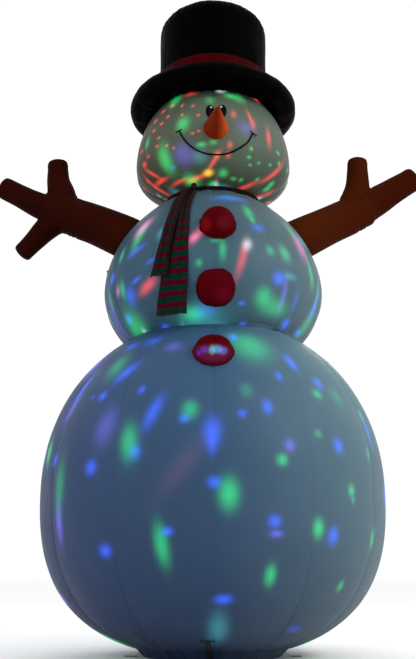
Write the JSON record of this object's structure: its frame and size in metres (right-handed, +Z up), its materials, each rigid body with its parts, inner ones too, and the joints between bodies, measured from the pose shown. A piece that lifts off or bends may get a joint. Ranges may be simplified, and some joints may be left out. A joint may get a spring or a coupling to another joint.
{
  "type": "inflatable yard snowman",
  "caption": "Tall inflatable yard snowman with top hat, scarf, branch arms, rear blower, deflation zip, ground loops and rotating light pods inside.",
  "frame": {"origin": "centre of the flat base panel, on the ground", "axes": "+Z up through the hat, -Y out of the face, +X to the side of the two-fingered arm"},
  "size_m": [4.0389, 2.9584, 6.1],
  "materials": {
    "ball_fabric": "thin coated polyester, satin",
    "hat_fabric": "thin coated polyester, satin",
    "red_fabric": "thin coated polyester, satin",
    "brown_fabric": "thin coated polyester, satin",
    "orange_fabric": "thin coated polyester, satin",
    "black_fabric": "thin coated polyester",
    "scarf_fabric": "striped woven polyester",
    "webbing": "woven webbing",
    "ring_steel": "plated steel",
    "blower_plastic": "moulded",
    "motor_metal": "die cast",
    "zip_tape": "woven tape",
    "zip_metal": "plated steel",
    "pod_plastic": "moulded",
    "pod_board": "circuit board lacquer",
    "pod_lens": "clear moulded lens",
    "lead_sheath": "matt sheath"
  },
  "bodies": {
    "snowman": {"base_panel": "ball_fabric", "bottom_ball_skin": "ball_fabric", "middle_ball_skin": "ball_fabric", "head_skin": "ball_fabric", "hat_crown": "hat_fabric", "hat_brim": "hat_fabric", "hat_band": "red_fabric", "button_top": "red_fabric", "button_middle": "red_fabric", "button_bottom": "red_fabric", "left_arm": "brown_fabric", "right_arm": "brown_fabric", "nose_cone": "orange_fabric", "left_eye": "black_fabric", "right_eye": "black_fabric", "mouth_piping": "black_fabric", "scarf_band": "scarf_fabric", "scarf_knot": "scarf_fabric", "scarf_long_tail": "scarf_fabric", "scarf_short_tail": "scarf_fabric", "waist_seam_tape": "webbing", "neck_seam_tape": "webbing", "blower_port_ring": "webbing", "light_strap_middle": "webbing", "light_strap_head": "webbing", "stake_loop_front": "webbing", "stake_loop_right": "webbing", "stake_loop_rear": "webbing", "stake_loop_left": "webbing", "tether_tab_left": "webbing", "tether_tab_right": "webbing", "tether_tab_rear": "webbing", "blower_housing": "blower_plastic", "blower_intake_grille": "blower_plastic", "blower_power_inlet": "blower_plastic", "blower_motor": "motor_metal", "light_motor_bottom": "motor_metal", "light_motor_middle": "motor_metal", "light_motor_head": "motor_metal", "zipper_tape": "zip_tape", "zipper_teeth": "zip_metal", "light_housing_bottom": "pod_plastic", "light_housing_middle": "pod_plastic", "light_housing_head": "pod_plastic", "light_board_bottom": "pod_board", "light_board_middle": "pod_board", "light_board_head": "pod_board", "harness_lower": "lead_sheath", "harness_middle": "lead_sheath", "harness_upper": "lead_sheath"},
    "impeller": {"blower_impeller": "blower_plastic"},
    "bottom_dome": {"light_dome_bottom": "pod_lens"},
    "middle_dome": {"light_dome_middle": "pod_lens"},
    "head_dome": {"light_dome_head": "pod_lens"},
    "ring_left": {"tether_ring_left": "ring_steel"},
    "ring_right": {"tether_ring_right": "ring_steel"},
    "ring_rear": {"tether_ring_rear": "ring_steel"},
    "zip_slider": {"zipper_slider": "zip_metal"},
    "zip_pull": {"zipper_pull": "zip_metal"}
  },
  "joints": [
    {"name": "impeller_spin", "type": "hinge", "parent": "snowman", "child": "impeller", "pos_m": [0, 1.31722, 0.55], "axis": [0, 0.8616, -0.5075], "continuous": true},
    {"name": "bottom_dome_spin", "type": "hinge", "parent": "snowman", "child": "bottom_dome", "pos_m": [0, 0, 0.09], "axis": [0, 0, 1], "continuous": true},
    {"name": "middle_dome_spin", "type": "hinge", "parent": "snowman", "child": "middle_dome", "pos_m": [0, 0, 2.74], "axis": [0, 0, 1], "continuous": true},
    {"name": "head_dome_spin", "type": "hinge", "parent": "snowman", "child": "head_dome", "pos_m": [0, 0, 4.15], "axis": [0, 0, 1], "continuous": true},
    {"name": "ring_left_swing", "type": "hinge", "parent": "snowman", "child": "ring_left", "pos_m": [-0.98791, 0, 3.39], "axis": [0, 1, 0], "range_deg": [-6, 110]},
    {"name": "ring_right_swing", "type": "hinge", "parent": "snowman", "child": "ring_right", "pos_m": [0.9729, 0.17155, 3.39], "axis": [0.1736, -0.9848, 0], "range_deg": [-6, 110]},
    {"name": "ring_rear_swing", "type": "hinge", "parent": "snowman", "child": "ring_rear", "pos_m": [0, 0.98791, 3.39], "axis": [1, 0, 0], "range_deg": [-6, 110]},
    {"name": "zip_run", "type": "hinge", "parent": "snowman", "child": "zip_slider", "pos_m": [0, 0, 0.95], "axis": [0, 0, 1], "range_deg": [0, 20.2]},
    {"name": "zip_pull_swing", "type": "hinge", "parent": "zip_slider", "child": "zip_pull", "pos_m": [0.25912, 1.45469, 0.95], "axis": [0.9845, -0.1754, 0], "range_deg": [-3, 100]}
  ]
}
